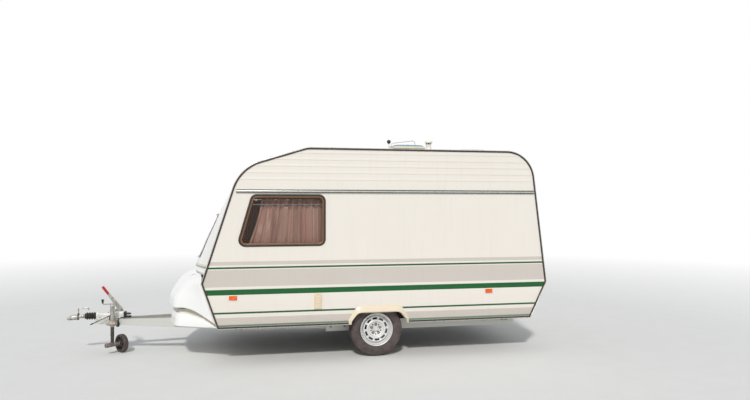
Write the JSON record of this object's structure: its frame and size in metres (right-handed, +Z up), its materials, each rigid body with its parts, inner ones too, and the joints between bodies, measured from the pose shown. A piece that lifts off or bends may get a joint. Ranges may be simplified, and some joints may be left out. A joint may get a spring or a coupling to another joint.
{
  "type": "travel caravan",
  "caption": "Towed touring caravan with a bow front, hinged gas locker, side door, spinning wheels, wind-down jockey wheel, corner steadies and roof hatch.",
  "frame": {"origin": "centre of the object's footprint box, on the floor under the tyres", "axes": "+X along the body from the coupling to the rear, +Y towards the right-hand side with the door, +Z up"},
  "size_m": [5.8269, 2.184, 2.667],
  "materials": {
    "side_cream": "gloss cream paint over a thin skin on a light sandwich",
    "roof_white": "gloss white roof skin",
    "panel_white": "gloss white skin",
    "gel_coat": "gloss white gel coat",
    "floor_ply": "dark weatherproofed plywood",
    "box_dark": "dark underseal",
    "spat_beige": "satin beige",
    "trim_brown": "dark painted extrusion",
    "rail_metal": "satin aluminium",
    "lens_orange": "orange lens",
    "vent_beige": "matt beige",
    "seal_rubber": "black rubber",
    "pane_tint": "tinted acrylic",
    "curtain_mauve": "dusty pink net",
    "lens_red": "red lens",
    "plate_white": "plain white plate",
    "galvanised": "dull galvanised steel",
    "tyre": "black tyre rubber",
    "wheel_silver": "silver painted steel",
    "cast_grey": "light grey painted casting",
    "coupling_silver": "zinc plated pressing",
    "lever_steel": "grey steel channel with a red grip",
    "small_wheel": "solid black rubber",
    "hatch_cream": "cream plastic",
    "hatch_tint": "pale blue-grey tinted dome",
    "dome_white": "white dome",
    "flue_cream": "cream enamel",
    "mast_white": "white post under a black ball"
  },
  "bodies": {
    "caravan": {"wall_left": "side_cream", "wall_right": "side_cream", "roof": "roof_white", "rear_wall": "side_cream", "front_wall": "panel_white", "front_panel": "gel_coat", "floor": "floor_ply", "wheel_boxes": "box_dark", "wheel_arch_trims": "spat_beige", "edge_trims": "trim_brown", "drip_rails": "rail_metal", "marker_lamps": "lens_orange", "vent_cover": "vent_beige", "window_seals": "seal_rubber", "window_panes": "pane_tint", "curtains": "curtain_mauve", "curtain_rods": "rail_metal", "tail_lamps": "lens_red", "number_plate": "plate_white", "locker_base": "gel_coat", "chassis_rails": "galvanised", "drawbar_rails": "galvanised", "cross_members": "galvanised", "axle": "galvanised", "overrun_housing": "cast_grey", "gaiter": "seal_rubber", "coupling_head": "coupling_silver", "handbrake_lever": "lever_steel", "jockey_clamp": "galvanised", "jockey_outer_tube": "galvanised", "tow_lead": "seal_rubber", "steady_brackets": "galvanised", "hatch_frame": "hatch_cream", "skylight": "dome_white", "flue": "flue_cream", "mast": "mast_white"},
    "wheel_left": {"tyre_left": "tyre", "rim_left": "wheel_silver"},
    "wheel_right": {"tyre_right": "tyre", "rim_right": "wheel_silver"},
    "door": {"door": "side_cream", "door_window": "pane_tint"},
    "locker_lid": {"locker_lid": "gel_coat"},
    "hatch_lid": {"hatch_lid": "hatch_tint"},
    "jockey_leg": {"jockey_inner_tube": "galvanised"},
    "jockey_castor": {"jockey_castor": "galvanised"},
    "jockey_wheel": {"jockey_wheel": "small_wheel"},
    "steady_front_left": {"steady_front_left": "galvanised"},
    "steady_front_right": {"steady_front_right": "galvanised"},
    "steady_rear_left": {"steady_rear_left": "galvanised"},
    "steady_rear_right": {"steady_rear_right": "galvanised"}
  },
  "joints": [
    {"name": "wheel_left_spin", "type": "hinge", "parent": "caravan", "child": "wheel_left", "pos_m": [0.731, -0.911, 0.317], "axis": [0, 1, 0], "continuous": true},
    {"name": "wheel_right_spin", "type": "hinge", "parent": "caravan", "child": "wheel_right", "pos_m": [0.731, 0.911, 0.317], "axis": [0, 1, 0], "continuous": true},
    {"name": "door_hinge", "type": "hinge", "parent": "caravan", "child": "door", "pos_m": [1.254, 1.062, 1.18], "axis": [0, 0, 1], "range_deg": [0, 150]},
    {"name": "locker_lid_hinge", "type": "hinge", "parent": "caravan", "child": "locker_lid", "pos_m": [-1.4, 0, 0.96], "axis": [0, 1, 0], "range_deg": [0, 65]},
    {"name": "hatch_lid_hinge", "type": "hinge", "parent": "caravan", "child": "hatch_lid", "pos_m": [1.568, 0, 2.547], "axis": [0, 1, 0], "range_deg": [0, 60]},
    {"name": "jockey_slide", "type": "slide", "parent": "caravan", "child": "jockey_leg", "axis": [0, 0, 1], "range_m": [0, 0.08]},
    {"name": "jockey_swivel", "type": "hinge", "parent": "jockey_leg", "child": "jockey_castor", "pos_m": [-2.369, -0.151, 0.2], "axis": [0, 0, 1], "continuous": true},
    {"name": "jockey_wheel_spin", "type": "hinge", "parent": "jockey_castor", "child": "jockey_wheel", "pos_m": [-2.26696, -0.11237, 0.11], "axis": [0.766, 0.6428, 0], "continuous": true},
    {"name": "steady_front_left", "type": "hinge", "parent": "caravan", "child": "steady_front_left", "pos_m": [-0.519, -0.8, 0.358], "axis": [0, -1, 0], "range_deg": [0, 55]},
    {"name": "steady_front_right", "type": "hinge", "parent": "caravan", "child": "steady_front_right", "pos_m": [-0.519, 0.8, 0.358], "axis": [0, -1, 0], "range_deg": [0, 55]},
    {"name": "steady_rear_left", "type": "hinge", "parent": "caravan", "child": "steady_rear_left", "pos_m": [2.061, -0.8, 0.358], "axis": [0, 1, 0], "range_deg": [0, 55]},
    {"name": "steady_rear_right", "type": "hinge", "parent": "caravan", "child": "steady_rear_right", "pos_m": [2.061, 0.8, 0.358], "axis": [0, 1, 0], "range_deg": [0, 55]}
  ]
}
